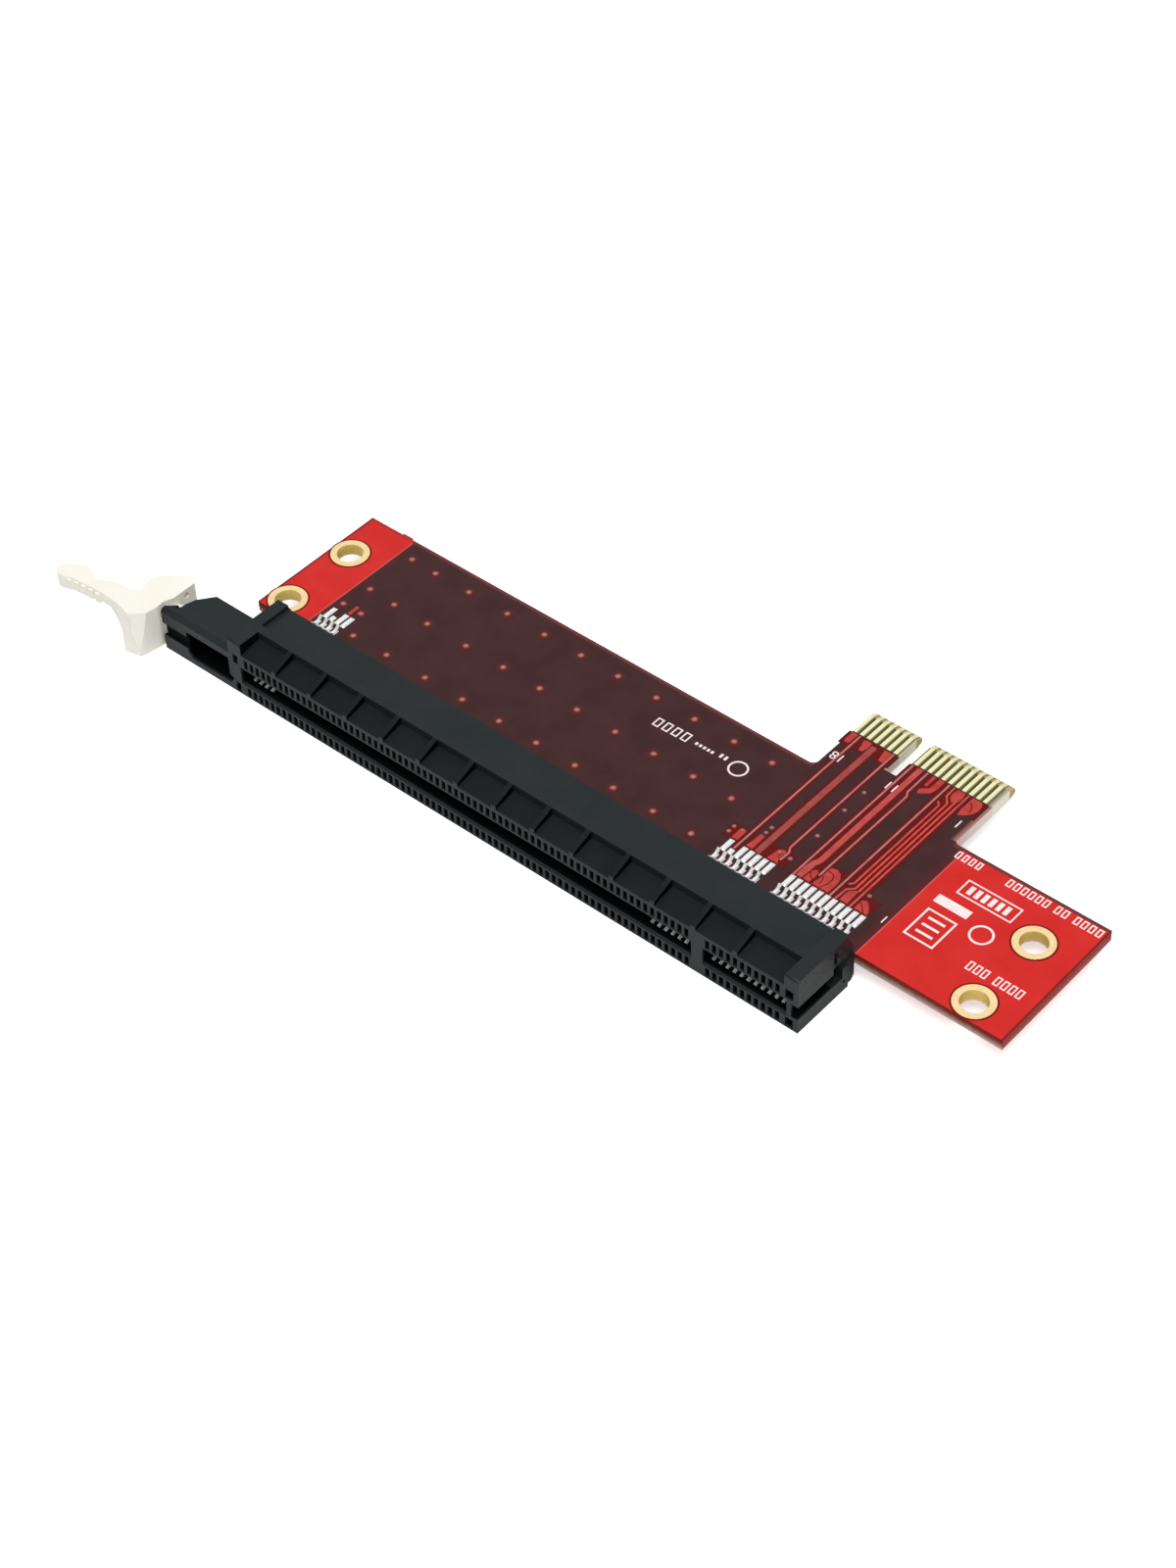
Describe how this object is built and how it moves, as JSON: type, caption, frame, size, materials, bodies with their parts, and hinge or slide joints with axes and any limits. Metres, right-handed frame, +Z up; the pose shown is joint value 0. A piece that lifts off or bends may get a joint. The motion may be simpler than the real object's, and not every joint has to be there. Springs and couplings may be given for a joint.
{
  "type": "pcie slot adapter",
  "caption": "Flat circuit board that carries a long card slot with an end latch on one edge and a short gold edge tab on the other, with plated screw holes.",
  "frame": {"origin": "on the mid plane of the board, at the leading edge of the card edge tab, on the centre line of its key notch", "axes": "+X along the connector towards contact 1, away from the latch; +Y the way the edge tab plugs in; +Z up from the side of the board shown in the picture"},
  "size_m": [0.1371, 0.0472, 0.0084],
  "materials": {
    "board": "glossy solder mask on laminate",
    "housing": "fine moulded satin",
    "latch": "moulded satin",
    "ring": "gold plated",
    "finger": "gold plated, polished",
    "contact": "bright tin plate",
    "solder": "bright solder"
  },
  "bodies": {
    "carrier": {"circuit_board": "board", "connector_housing": "housing", "screw_hole_rings": "ring", "edge_fingers_top": "finger", "edge_fingers_bottom": "finger", "solder_pads_top": "solder", "solder_pads_bottom": "solder", "contact_top_01": "contact", "contact_top_02": "contact", "contact_top_03": "contact", "contact_top_04": "contact", "contact_top_05": "contact", "contact_top_06": "contact", "contact_top_07": "contact", "contact_top_08": "contact", "contact_top_09": "contact", "contact_top_10": "contact", "contact_top_11": "contact", "contact_top_12": "contact", "contact_top_13": "contact", "contact_top_14": "contact", "contact_top_15": "contact", "contact_top_16": "contact", "contact_top_17": "contact", "contact_top_18": "contact", "contact_top_79": "contact", "contact_top_80": "contact", "contact_top_81": "contact", "contact_top_82": "contact", "contact_bottom_01": "contact", "contact_bottom_02": "contact", "contact_bottom_03": "contact", "contact_bottom_04": "contact", "contact_bottom_05": "contact", "contact_bottom_06": "contact", "contact_bottom_07": "contact", "contact_bottom_08": "contact", "contact_bottom_09": "contact", "contact_bottom_10": "contact", "contact_bottom_11": "contact", "contact_bottom_12": "contact", "contact_bottom_13": "contact", "contact_bottom_14": "contact", "contact_bottom_15": "contact", "contact_bottom_16": "contact", "contact_bottom_17": "contact", "contact_bottom_18": "contact", "contact_bottom_79": "contact", "contact_bottom_80": "contact", "contact_bottom_81": "contact", "contact_bottom_82": "contact"},
    "latch": {"latch": "latch"}
  },
  "joints": [
    {"name": "latch_swing", "type": "hinge", "parent": "carrier", "child": "latch", "pos_m": [-0.0846, -0.0413, 0], "axis": [0, 0, -1], "range_deg": [0, 30]}
  ]
}
